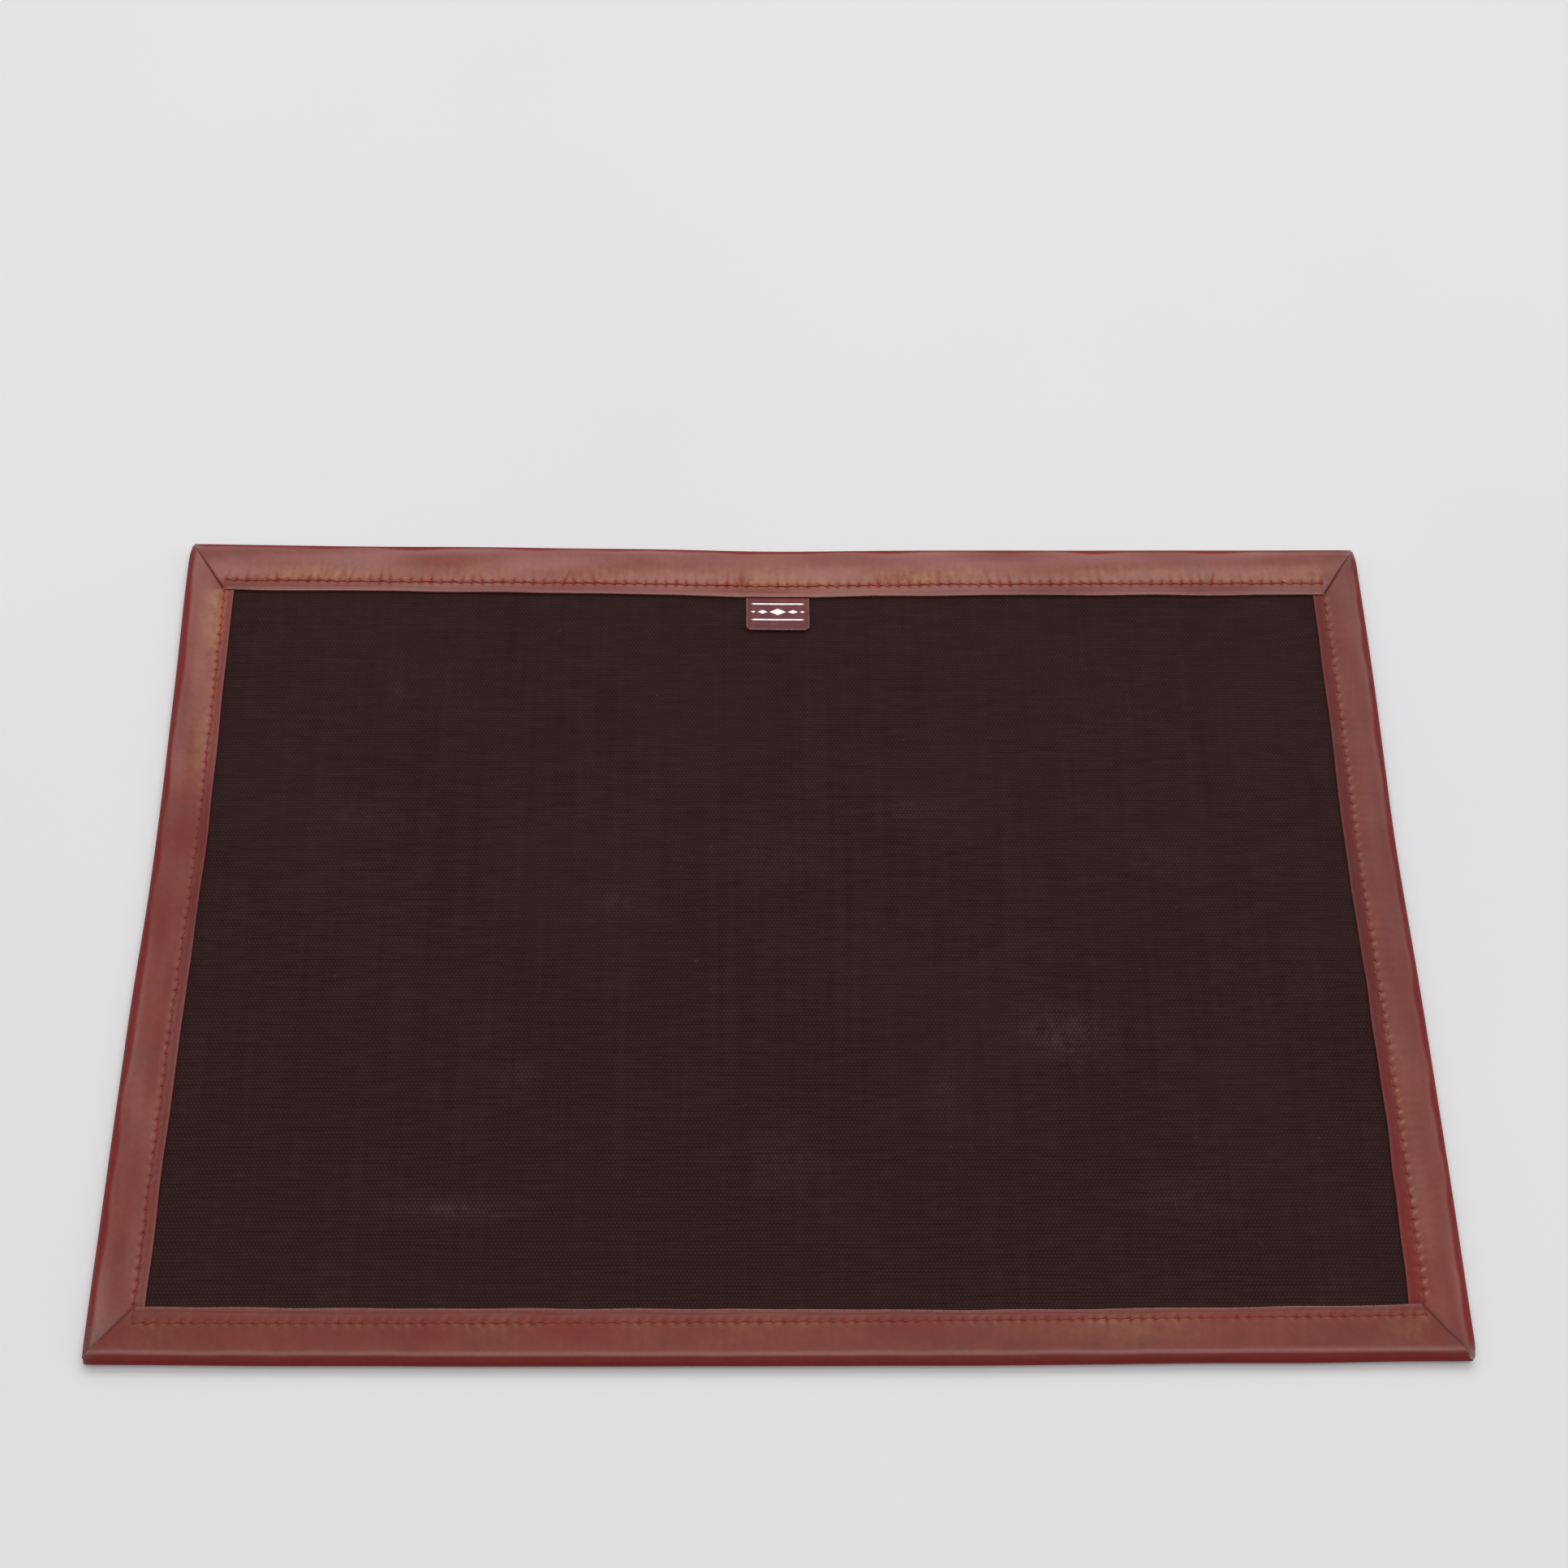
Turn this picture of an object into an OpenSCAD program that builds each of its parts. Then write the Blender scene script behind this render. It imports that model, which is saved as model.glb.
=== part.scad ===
// Leather-bound desk mat: a canvas panel on a stiff board, edged by four sewn
// leather bindings, with a small leather label tab under the back binding.
// Millimetres. The origin is the middle of the underside, +X runs along the
// long side, +Y to the back edge with the tab, +Z up.

/* [Overall] */
// Long side of the mat
mat_w = 450; // [300:5:700]
// Short side of the mat, front to back
mat_d = 315; // [220:5:480]

/* [Layers] */
// Thickness of the binding leather
leather_t = 1.1; // [0.8:0.1:1.6]
// Thickness of the lining sheet under the board
lining_t = 0.6; // [0.4:0.1:1.2]
// Thickness of the stiff board
board_t = 1.2; // [0.8:0.1:2.5]
// Thickness of the felt between the board and the canvas
felt_t = 0.5; // [0.3:0.1:1.5]
// Thickness of the canvas
canvas_t = 0.5; // [0.3:0.1:1]

/* [Bindings] */
// Visible width of the back binding
back_w = 21.3; // [16:0.1:30]
// Visible width of the front binding
front_w = 18.1; // [14:0.1:30]
// Visible width of the left binding
left_w = 18.6; // [16:0.1:30]
// Visible width of the right binding
right_w = 19.2; // [16:0.1:30]
// Radius of the outer edge where the leather turns over the board
edge_r = 2.0; // [1.6:0.1:2.4]
// Distance of each mitre's inner end from the side edge of the mat
mitre_in = 14.8; // [12:0.1:16]
// How much each outer corner is worn back along both edges
corner_cut = 0.8; // [0.5:0.1:3]

/* [Stitching] */
// Distance between stitch holes
stitch_pitch = 3.9; // [2.5:0.1:6]
// Width of the thread
thread_w = 0.7; // [0.5:0.1:0.9]
// Depth of the channel that the thread lies in
channel_d = 0.45; // [0.3:0.05:0.6]
// How far a stitch lies below the leather's face
thread_sink = 0.05; // [0.05:0.05:0.15]
// Distance of the back row from its binding's inner edge
back_row = 5.4; // [3.5:0.1:7]
// Distance of the front row from its binding's inner edge
front_row = 3.9; // [3.5:0.1:7]
// Distance of the left row from its binding's inner edge
left_row = 4.3; // [3.5:0.1:7]
// Distance of the right row from its binding's inner edge
right_row = 5.4; // [3.5:0.1:7]

/* [Label tab] */
// Width of the tab
tab_w = 24; // [14:0.5:40]
// Length of the tab's free part
tab_l = 15; // [8:0.5:30]
// Thickness of the tab
tab_t = 0.8; // [0.6:0.05:1]
// Radius of the tab's free corners
tab_r = 1.8; // [0.5:0.1:4]
// Length of the thinned root sewn in under the back binding
root_l = 7; // [6:0.5:10]
// Thickness of the thinned root
root_t = 0.4; // [0.3:0.05:0.6]
// Thickness of the stamped foil
foil_t = 0.05; // [0.04:0.01:0.1]

/* [Hidden] */
$fn = 64;

// Heights of the layers, from the underside up
lining_z = leather_t;
board_z = lining_z + lining_t;
felt_z = board_z + board_t;
canvas_z = felt_z + felt_t;
canvas_top = canvas_z + canvas_t;
mat_t = canvas_top + leather_t;

// Outer and inner edges of the bindings
side_x = mat_w / 2;
end_y = mat_d / 2;
back_in = end_y - back_w;
front_in = -end_y + front_w;
left_in = -side_x + left_w;
right_in = side_x - right_w;
tip_x = side_x - mitre_in;

// Lines of the four stitch rows
back_y = back_in + back_row;
front_y = front_in - front_row;
left_x = left_in - left_row;
right_x = right_in + right_row;

// Holes of the long rows run from one side row to the other
long_n = round((right_x - left_x) / stitch_pitch);
long_holes = [for (i = [0 : long_n]) left_x + (right_x - left_x) * i / long_n];

// Holes of the side rows run between the mitres' inner ends
tip_gap = 0.9;
side_first = front_in + tip_gap;
side_last = back_in - tip_gap;
side_n = round((side_last - side_first) / stitch_pitch);
side_holes = [for (i = [0 : side_n]) side_first + (side_last - side_first) * i / side_n];

// A stitch dips towards the hole at each of its ends
dip_l = 0.9;
dip_d = 0.25;

// The tab lies just above the canvas and starts just clear of the back binding
tab_clear = 0.05;
hinge_gap = 0.3;
tab_z = canvas_top + tab_clear;
tab_y = back_in - hinge_gap;

leather_colour = "#8a3b36";
thread_colour = "#8f2f24";
canvas_colour = "#33211f";
felt_colour = "#6f6a64";
board_colour = "#a89f8d";
lining_colour = "#5a2a27";
foil_colour = "#cfcdc8";

// Places its children at each hole of a row, along X
module at_holes(holes) {
  for (at = holes)
    translate([at, 0])
      children();
}

// Openings of the back and front rows, in plan
module long_row_holes(y) {
  translate([0, y])
    at_holes(long_holes)
      square(thread_w, center = true);
}

// Openings of the left and right rows, in plan
module side_row_holes(x) {
  translate([x, 0])
    rotate(90)
      at_holes(side_holes)
        square(thread_w, center = true);
}

// One full layer of the panel, pierced by the four rows
module layer(z, thickness) {
  translate([0, 0, z])
    linear_extrude(thickness)
      difference() {
        square([mat_w - 2 * leather_t, mat_d - 2 * leather_t], center = true);
        long_row_holes(back_y);
        long_row_holes(front_y);
        side_row_holes(left_x);
        side_row_holes(right_x);
      }
}

module canvas_panel() {
  color(canvas_colour)
    layer(canvas_z, canvas_t);
}

module felt_interlining() {
  color(felt_colour)
    layer(felt_z, felt_t);
}

module core_board() {
  color(board_colour)
    layer(board_z, board_t);
}

module base_lining() {
  color(lining_colour)
    layer(lining_z, lining_t);
}

// Section of a binding: a leather strip folded round the edge of the layers,
// with its outer edge at x = 0
module binding_section(width) {
  difference() {
    union() {
      translate([edge_r, 0])
        square([width - edge_r, mat_t]);
      translate([0, edge_r])
        square([edge_r, mat_t - 2 * edge_r]);
      for (z = [edge_r, mat_t - edge_r])
        translate([edge_r, z])
          circle(edge_r);
    }
    translate([leather_t, leather_t])
      square([width, mat_t - 2 * leather_t]);
  }
}

// A length of folded strip with its outer edge at x = -out, along Y
module folded_strip(width, length, out) {
  translate([-out, 0, 0])
    rotate([90, 0, 0])
      linear_extrude(length, center = true)
        binding_section(width);
}

// Outline of the back binding, or of the front one when side is -1
module end_outline(side, inner) {
  polygon([
    [-side_x + corner_cut, side * end_y],
    [side_x - corner_cut, side * end_y],
    [tip_x, inner],
    [-tip_x, inner]
  ]);
}

// Outline of the right binding, or of the left one when side is -1
module side_outline(side, inner) {
  polygon([
    [side * (side_x - corner_cut), end_y],
    [side * tip_x, back_in],
    [inner, back_in],
    [inner, front_in],
    [side * tip_x, front_in],
    [side * (side_x - corner_cut), -end_y],
    [side * side_x, -end_y + corner_cut],
    [side * side_x, end_y - corner_cut]
  ]);
}

// Thread channels in both faces: a closed loop along all four rows
module thread_channels() {
  for (z = [-channel_d, mat_t - channel_d])
    translate([0, 0, z])
      linear_extrude(2 * channel_d)
        difference() {
          translate([left_x - thread_w / 2, front_y - thread_w / 2])
            square([right_x - left_x + thread_w, back_y - front_y + thread_w]);
          translate([left_x + thread_w / 2, front_y + thread_w / 2])
            square([right_x - left_x - thread_w, back_y - front_y - thread_w]);
        }
}

// Room for the tab's root in the underside of the back binding's top leaf
module root_pocket() {
  translate([-tab_w / 2, back_in - 1, canvas_top - 1])
    cube([tab_w, root_l + 1, root_t + 1]);
}

module binding_back() {
  color(leather_colour)
    difference() {
      intersection() {
        linear_extrude(mat_t)
          end_outline(1, back_in);
        rotate(-90)
          folded_strip(back_w, mat_w, end_y);
      }
      linear_extrude(mat_t)
        long_row_holes(back_y);
      thread_channels();
      root_pocket();
    }
}

module binding_front() {
  color(leather_colour)
    difference() {
      intersection() {
        linear_extrude(mat_t)
          end_outline(-1, front_in);
        rotate(90)
          folded_strip(front_w, mat_w, end_y);
      }
      linear_extrude(mat_t)
        long_row_holes(front_y);
      thread_channels();
    }
}

module binding_left() {
  color(leather_colour)
    difference() {
      intersection() {
        linear_extrude(mat_t)
          side_outline(-1, left_in);
        folded_strip(left_w, mat_d, side_x);
      }
      linear_extrude(mat_t)
        side_row_holes(left_x);
      thread_channels();
    }
}

module binding_right() {
  color(leather_colour)
    difference() {
      intersection() {
        linear_extrude(mat_t)
          side_outline(1, right_in);
        rotate(180)
          folded_strip(right_w, mat_d, side_x);
      }
      linear_extrude(mat_t)
        side_row_holes(right_x);
      thread_channels();
    }
}

// Upper outline of a row seen from the side: each stitch dips at its two ends
function stitch_tops(knots) = [
  for (i = [0 : len(knots) - 2])
    each [
      [knots[i], mat_t - thread_sink - dip_d],
      [knots[i] + dip_l, mat_t - thread_sink],
      [knots[i + 1] - dip_l, mat_t - thread_sink],
      [knots[i + 1], mat_t - thread_sink - dip_d]
    ]
];

// The same outline on the underside, run backwards
function stitch_bottoms(tops) = [
  for (i = [len(tops) - 1 : -1 : 0])
    [tops[i][0], mat_t - tops[i][1]]
];

// Side view of a row whose stitches start and end at the knots: stitches on
// both faces, joined by a post of thread through each hole
module thread_view(knots, holes) {
  tops = stitch_tops(knots);
  post_ends = concat([knots[0] - thread_w], holes, [knots[len(knots) - 1] + thread_w]);
  difference() {
    polygon(concat(tops, stitch_bottoms(tops)));
    for (i = [0 : len(post_ends) - 2])
      translate([post_ends[i] + thread_w / 2, channel_d])
        square([post_ends[i + 1] - post_ends[i] - thread_w, mat_t - 2 * channel_d]);
  }
}

// Stands a row's side view up along X, on the line y = 0
module stand_row() {
  rotate([90, 0, 0])
    linear_extrude(thread_w, center = true)
      children();
}

// A long row starts and ends at the outer side of its end posts
module long_thread(y) {
  last = len(long_holes) - 1;
  knots = [
    for (i = [0 : last])
      long_holes[i] + (i == 0 ? -thread_w / 2 : i == last ? thread_w / 2 : 0)
  ];
  color(thread_colour)
    translate([0, y, 0])
      stand_row()
        thread_view(knots, long_holes);
}

// A side row's end stitches reach the corner posts of the long rows
module side_thread(x) {
  knots = concat([front_y + thread_w / 2], side_holes, [back_y - thread_w / 2]);
  color(thread_colour)
    translate([x, 0, 0])
      rotate(90)
        stand_row()
          thread_view(knots, side_holes);
}

module stitching_back() {
  long_thread(back_y);
}

module stitching_front() {
  long_thread(front_y);
}

module stitching_left() {
  side_thread(left_x);
}

module stitching_right() {
  side_thread(right_x);
}

// Thinned end of the tab's leather, sewn in under the back binding
module tab_root() {
  color(leather_colour)
    translate([0, 0, canvas_top])
      linear_extrude(root_t)
        difference() {
          translate([-tab_w / 2, back_in])
            square([tab_w, root_l]);
          long_row_holes(back_y);
        }
}

// Free part of the tab, with its two loose corners rounded
module label_tab() {
  square_l = tab_l - hinge_gap - tab_r;
  color(leather_colour)
    translate([0, tab_y, tab_z])
      linear_extrude(tab_t)
        union() {
          translate([-tab_w / 2, -square_l])
            square([tab_w, square_l]);
          translate([-tab_w / 2 + tab_r, -square_l - tab_r])
            square([tab_w - 2 * tab_r, square_l]);
          for (side = [-1, 1])
            translate([side * (tab_w / 2 - tab_r), -square_l])
              circle(tab_r);
        }
}

// A lozenge that is twice as wide as it is tall
module lozenge(height) {
  polygon([[-height, 0], [0, height / 2], [height, 0], [0, -height / 2]]);
}

// Plain foil ornament: five lozenges in a row between two rules
module tab_foil() {
  foil_in = tab_l * 0.46;
  rule_w = tab_w * 0.85;
  rule_h = 0.7;
  rule_y = tab_l * 0.24;
  big_h = tab_w * 0.13;
  color(foil_colour)
    translate([0, back_in - foil_in, tab_z + tab_t])
      linear_extrude(foil_t) {
        lozenge(big_h);
        for (side = [-1, 1]) {
          translate([0, side * rule_y])
            square([rule_w, rule_h], center = true);
          translate([side * big_h * 1.85, 0])
            lozenge(big_h * 0.6);
          translate([side * big_h * 3, 0])
            lozenge(big_h * 0.3);
        }
      }
}

canvas_panel();
felt_interlining();
core_board();
base_lining();
binding_back();
binding_front();
binding_left();
binding_right();
stitching_back();
stitching_front();
stitching_left();
stitching_right();
tab_root();
label_tab();
tab_foil();
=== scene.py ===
import math
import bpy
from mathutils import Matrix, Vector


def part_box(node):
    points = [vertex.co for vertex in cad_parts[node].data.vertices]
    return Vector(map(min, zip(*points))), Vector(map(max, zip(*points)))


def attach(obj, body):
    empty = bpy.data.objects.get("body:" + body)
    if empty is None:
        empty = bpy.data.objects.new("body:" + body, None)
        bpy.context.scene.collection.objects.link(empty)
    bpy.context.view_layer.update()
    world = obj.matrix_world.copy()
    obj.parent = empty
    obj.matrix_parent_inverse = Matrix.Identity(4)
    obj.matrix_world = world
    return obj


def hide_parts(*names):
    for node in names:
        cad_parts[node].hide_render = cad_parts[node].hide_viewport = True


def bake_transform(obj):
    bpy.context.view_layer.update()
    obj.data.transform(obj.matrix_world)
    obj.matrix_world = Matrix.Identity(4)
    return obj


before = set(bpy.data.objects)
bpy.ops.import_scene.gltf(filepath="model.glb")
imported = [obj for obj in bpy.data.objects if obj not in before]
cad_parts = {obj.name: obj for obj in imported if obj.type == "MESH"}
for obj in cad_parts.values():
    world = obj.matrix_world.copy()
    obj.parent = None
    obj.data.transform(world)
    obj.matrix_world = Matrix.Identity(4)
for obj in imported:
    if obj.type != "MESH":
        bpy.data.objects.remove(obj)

from types import SimpleNamespace

import bmesh
import bpy
import numpy as np
from mathutils import Matrix, Vector

# The desk mat's visible pieces, in metres, in the frame of the CAD model: X along the long
# side, Y to the back edge with the tab, Z up. Lengths named below are in metres too.
MM = 0.001
TURN = 2 * math.pi
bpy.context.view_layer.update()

# ---- places taken from the frame


def node_box(name):
    low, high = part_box(name)
    return np.array(low, float), np.array(high, float)


BACK_LOW, BACK_HIGH = node_box("binding_back")
RIGHT_LOW, RIGHT_HIGH = node_box("binding_right")
TAB_LOW, TAB_HIGH = node_box("label_tab")
ROOT_LOW, ROOT_HIGH = node_box("tab_root")

SIDE_X = RIGHT_HIGH[0]
END_Y = BACK_HIGH[1]
TOP_Z = BACK_HIGH[2]
BACK_IN = BACK_LOW[1]
FRONT_IN = node_box("binding_front")[1][1]
LEFT_IN = node_box("binding_left")[1][0]
RIGHT_IN = RIGHT_LOW[0]


def middle(name, axis):
    low, high = node_box(name)
    return (low[axis] + high[axis]) / 2


BACK_ROW = middle("stitching_back", 1)
FRONT_ROW = middle("stitching_front", 1)
LEFT_ROW = middle("stitching_left", 0)
RIGHT_ROW = middle("stitching_right", 0)

# Driving sizes that the frame does not hold. A long row stops ROW_SHORT before the left and the
# right row; a mitre ends MITRE_IN from the side, and the front right one MITRE_MORE further.
LEATHER_T = 1.1 * MM
STITCH_PITCH = 3.9 * MM
THREAD_R = 0.33 * MM
THREAD_SIDES = 8
STITCH_POINTS = 11
ROW_SHORT = 1.0 * MM, 1.4 * MM
TIP_GAP = 0.9 * MM
MITRE_IN = 14.8 * MM
MITRE_MORE = 1.2 * MM
MITRE_TUCK = 0.35 * MM
CORNER_R = 1.3 * MM
DRAW_IN = 1.0 * MM
DRAW_REACH = 7 * MM
BINDING_STEP = 0.55 * MM
BINDING_INSET = 0.06 * MM
TABLE_GAP = 0.02 * MM
TAB_LIFT = 0.6 * MM
TAB_CORNER_R = 1.9 * MM
TAB_SLOT = 0.45 * MM
FOIL_T = 0.09 * MM
FOIL_GRID = 7

# How far age has drawn the mat out of true, where along X or Y, and its reach in millimetres.
SHIFT = 0.33 * MM
BOW = 1.1 * MM
SAG_BACK, SAG_REACH = 0.9 * MM, 40
SAG_LIP, SAG_LIP_X, SAG_LIP_REACH = 0.45 * MM, 10 * MM, 80
SAG_FROM, SAG_TO = 30 * MM, 110 * MM
FLARE_LEFT, FLARE_RIGHT = 0.2 * MM, 0.5 * MM
FLARE_CORNER, FLARE_FROM, FLARE_TO = 1.0 * MM, 85 * MM, 155 * MM
PINCH, PINCH_Y, PINCH_REACH = 1.2 * MM, 25 * MM, 50

# How deep or high the marks on a binding's face are.
PULL_DEEP = 0.05 * MM
FOLD_DEEP = 0.15 * MM
KNOB_HIGH = 0.1 * MM
RIB_HIGH = 0.07 * MM
CREASE_DEEP = 0.08 * MM
LIP_DROP = 0.06 * MM
EDGE_DROP = 0.15 * MM
UNEVEN, FINE_UNEVEN = 0.05 * MM, 0.02 * MM

# Colours, linear: the leather's, then the canvas's, the thread's and the foil's.
# The next colour is pale worn leather, and also painted highlights and painted sheen.
PALE_WEAR_AND_HIGHLIGHT = (0.36, 0.13, 0.113, 1)
WHOLE_DYE = (0.225, 0.006, 0.0065, 1)
# The next colour is darker leather, and also painted shade.
DARKENING_AND_SHADE = (0.1, 0.008, 0.005, 1)
GREY_GRIME = (0.115, 0.07, 0.06, 1)
CUT_EDGE = (0.46, 0.35, 0.3, 1)
WEAVE_LOW, WEAVE_HIGH = (0.0105, 0.003, 0.0029, 1), (0.056, 0.022, 0.0215, 1)
CLOUDED, SOILED = (0.8, 0.7, 0.7, 1), (0.024, 0.02, 0.02, 1)
CHALKY, LINT = (0.17, 0.135, 0.13, 1), (0.2, 0.17, 0.16, 1)
DULL_THREAD, VIVID_THREAD = (0.22, 0.024, 0.015, 1), (0.42, 0.05, 0.02, 1)
FADED_THREAD = (0.4, 0.15, 0.1, 1)
THIN_FOIL, WHOLE_FOIL = (0.45, 0.31, 0.3, 1), (0.9, 0.9, 0.9, 1)
TABLE_LOW, TABLE_HIGH = (0.79, 0.79, 0.805, 1), (0.82, 0.82, 0.83, 1)

# The camera: its turns in degrees, the point it looks at, its distance and its lens.
CAMERA_TURNS = (-2.83, 61.99, 2.67)
CAMERA_AIM = (1.9 * MM, 56.0 * MM, 0)
CAMERA_AWAY = 0.8269
CAMERA_LENS, CAMERA_SENSOR = 51.58, 36
# The soft boxes: name, place, the point it faces, size and power.
SOFT_BOXES = (
    ("soft_box_back", (0.1, 1.9, 2.15), (0, 0.1, 0), (3.2, 1.3), 35),
    ("soft_box_top", (0.1, -0.5, 2.4), (0, -0.1, 0), (3.0, 2.2), 25.5),
)
FLOOR_HALF = 3.0
# The backdrop, and how far from the mat's middle the floor starts and ends to run into it.
BACKDROP = (1.0, 1.0, 1.02, 1)
BACKDROP_LEVEL = 0.76
NEAR_FLOOR, FAR_FLOOR = 0.65, 1.5

# ---- small helpers


def wander(x, y, length, seed, waves=7):
    """A smooth, repeatable wandering between about -1 and 1, with features of length millimetres."""
    rng = np.random.default_rng(seed)
    total = np.zeros(np.broadcast(x, y).shape)
    for _ in range(waves):
        turn = rng.uniform(0, TURN)
        pace = TURN / (length * MM * rng.uniform(0.7, 1.6))
        start = rng.uniform(0, TURN)
        total = total + np.sin(pace * (x * math.cos(turn) + y * math.sin(turn)) + start)
    return total / math.sqrt(waves / 2) / 1.6


def ease(x, low, high):
    """0 below low, 1 above high, smooth between."""
    t = np.clip((x - low) / (high - low), 0, 1)
    return t * t * (3 - 2 * t)


def bell(x, width):
    """1 at 0, falling smoothly to 0.37 at width millimetres either way."""
    return np.exp(-(x / (width * MM)) ** 2)


def settle(points):
    """Draws points out of true as the whole mat is: bowed, pinched and sagging by the tab."""
    x, y = points[:, 0], points[:, 1]
    out = points.copy()
    far = ease(y, SAG_FROM, SAG_TO)
    lip = 1 - ease(y, BACK_IN, END_Y)
    sag = SAG_BACK * bell(x, SAG_REACH) + SAG_LIP * lip * bell(x - SAG_LIP_X, SAG_LIP_REACH)
    out[:, 1] += BOW * (x / SIDE_X) ** 2 - far * sag - SHIFT
    flare = np.where(x < 0, FLARE_LEFT, FLARE_RIGHT)
    out[:, 0] += x / SIDE_X * (flare - PINCH * bell(y - PINCH_Y, PINCH_REACH))
    out[:, 0] -= FLARE_CORNER * np.clip(-x / SIDE_X, 0, 1) ** 2 * ease(y, FLARE_FROM, FLARE_TO)
    return out


def placed(name, data):
    """A new object of the scene."""
    made = bpy.data.objects.new(name, data)
    bpy.context.scene.collection.objects.link(made)
    return made


def in_rows(x, y, z):
    """One row of X, Y and Z for each point."""
    return np.stack([x.ravel(), y.ravel(), z.ravel()], axis=1)


def mesh_object(name, points, faces, material, masks=None):
    """A mesh from an array of points and a list of faces, with outward normals.

    masks holds named arrays of three values a point, which the material reads.
    """
    mesh = bpy.data.meshes.new(name)
    mesh.from_pydata([tuple(p) for p in points.tolist()], [], faces)
    for key, values in (masks or {}).items():
        layer = mesh.attributes.new(key, "FLOAT_COLOR", "POINT")
        filled = np.ones((len(points), 4), np.float32)
        filled[:, :values.shape[-1]] = np.clip(values.reshape(len(points), -1), 0, 1)
        layer.data.foreach_set("color", filled.ravel())
    work = bmesh.new()
    work.from_mesh(mesh)
    bmesh.ops.recalc_face_normals(work, faces=work.faces)
    work.to_mesh(mesh)
    work.free()
    mesh.polygons.foreach_set("use_smooth", [True] * len(mesh.polygons))
    mesh.materials.append(material)
    return placed(name, mesh)


def ring_faces(rows, ring, closed=True):
    """Quads between neighbouring rows of points, each row a closed or open ring."""
    across = ring if closed else ring - 1
    i = np.arange(rows - 1)[:, None] * ring
    j = np.arange(across)[None, :]
    k = (j + 1) % ring
    quads = np.stack([i + j, i + k, i + ring + k, i + ring + j], axis=-1)
    return quads.reshape(-1, 4).tolist()


def tube_faces(rows, ring):
    """Faces of a tube of rows closed rings, with a face across each end."""
    last = (rows - 1) * ring
    return ring_faces(rows, ring) + [list(range(ring)), list(range(last, last + ring))]


def slab_faces(rows, ring):
    """Faces of a closed slab whose upper points, in rows of ring points, come before its lower."""
    size = rows * ring
    upper = ring_faces(rows, ring, closed=False)
    lower = [[size + k for k in reversed(quad)] for quad in upper]
    rim = list(range(ring)) + [i * ring + ring - 1 for i in range(1, rows)]
    rim += [(rows - 1) * ring + j for j in range(ring - 2, -1, -1)]
    rim += [i * ring for i in range(rows - 2, 0, -1)]
    return upper + lower + [[a, b, size + b, size + a] for a, b in zip(rim, rim[1:] + rim[:1])]


def slab_points(x, y, top, under):
    """Points of a slab: all the upper ones, then all the lower ones."""
    return np.concatenate([in_rows(x, y, top), in_rows(x, y, under)])


def stand_in(made, body, slot, *nodes):
    """Lets a piece ride on a body and stand for CAD nodes; slot is not used."""
    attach(made, body)
    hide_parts(*nodes)


# ---- materials


def feed(tree, node, inputs):
    """Gives each named input of a node a value, or the socket that feeds it."""
    for key, value in inputs.items():
        if isinstance(value, bpy.types.NodeSocket):
            tree.links.new(value, node.inputs[key])
        else:
            node.inputs[key].default_value = value
    return node


def add(tree, kind, inputs=None, **settings):
    """Adds a shader node with these settings and inputs."""
    made = tree.nodes.new("ShaderNode" + kind)
    for key, value in settings.items():
        setattr(made, key, value)
    return feed(tree, made, inputs or {})


def sums(tree, operation, a, b=0.0):
    return add(tree, "Math", {0: a, 1: b}, operation=operation).outputs[0]


def times(tree, a, b):
    return sums(tree, "MULTIPLY", a, b)


def plus(tree, a, b):
    return sums(tree, "ADD", a, b)


def noise(tree, where, size, detail=3.0, rough=0.55):
    """Noise with features of about size metres."""
    inputs = {"Vector": where, "Scale": 1 / size, "Detail": detail, "Roughness": rough}
    return add(tree, "TexNoise", inputs).outputs["Fac"]


def ramp(tree, value, low, high):
    """0 at low and 1 at high, clamped."""
    made = add(tree, "MapRange", {"Value": value, "From Min": low, "From Max": high})
    return made.outputs["Result"]


def blend(tree, share, a, b, how="MIX"):
    """Mixes two colours, each a colour or a socket: inputs 6 and 7 and output 2 of a Mix node."""
    made = add(tree, "Mix", {0: share, 6: a, 7: b}, data_type="RGBA", blend_type=how)
    return made.outputs[2]


def bump(tree, height, distance, strength=1.0, under=None):
    inputs = {"Height": height, "Distance": distance, "Strength": strength}
    if under is not None:
        inputs["Normal"] = under
    return add(tree, "Bump", inputs).outputs["Normal"]


def place(tree, scale=(1, 1, 1)):
    """The object's own coordinates, in metres, stretched by scale."""
    where = add(tree, "TexCoord").outputs["Object"]
    return add(tree, "Mapping", {"Vector": where, "Scale": scale}).outputs["Vector"]


def surface(name, specular, sheen=0.0):
    """A new material with its tree, its shader and its object coordinates."""
    made = bpy.data.materials.new(name)
    made.use_nodes = True
    tree = made.node_tree
    shader = tree.nodes["Principled BSDF"]
    feed(tree, shader, {"Specular IOR Level": specular, "Sheen Weight": sheen, "Sheen Roughness": 0.5})
    return made, tree, shader


def finish(tree, shader, colour, rough, normal):
    feed(tree, shader, {"Base Color": colour, "Roughness": rough, "Normal": normal})


def grey(level):
    return (level, level, level, 1)


def spread(tree, value, low, high):
    """Maps a value between 0 and 1 to one between low and high."""
    made = add(tree, "MapRange", {"Value": value, "To Min": low, "To Max": high})
    return made.outputs["Result"]


def mask_colours(tree, name):
    """The three masks that a mesh carries under one name."""
    colour = add(tree, "Attribute", attribute_name=name).outputs["Color"]
    parts = add(tree, "SeparateColor", {"Color": colour})
    return parts.outputs["Red"], parts.outputs["Green"], parts.outputs["Blue"]


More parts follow.
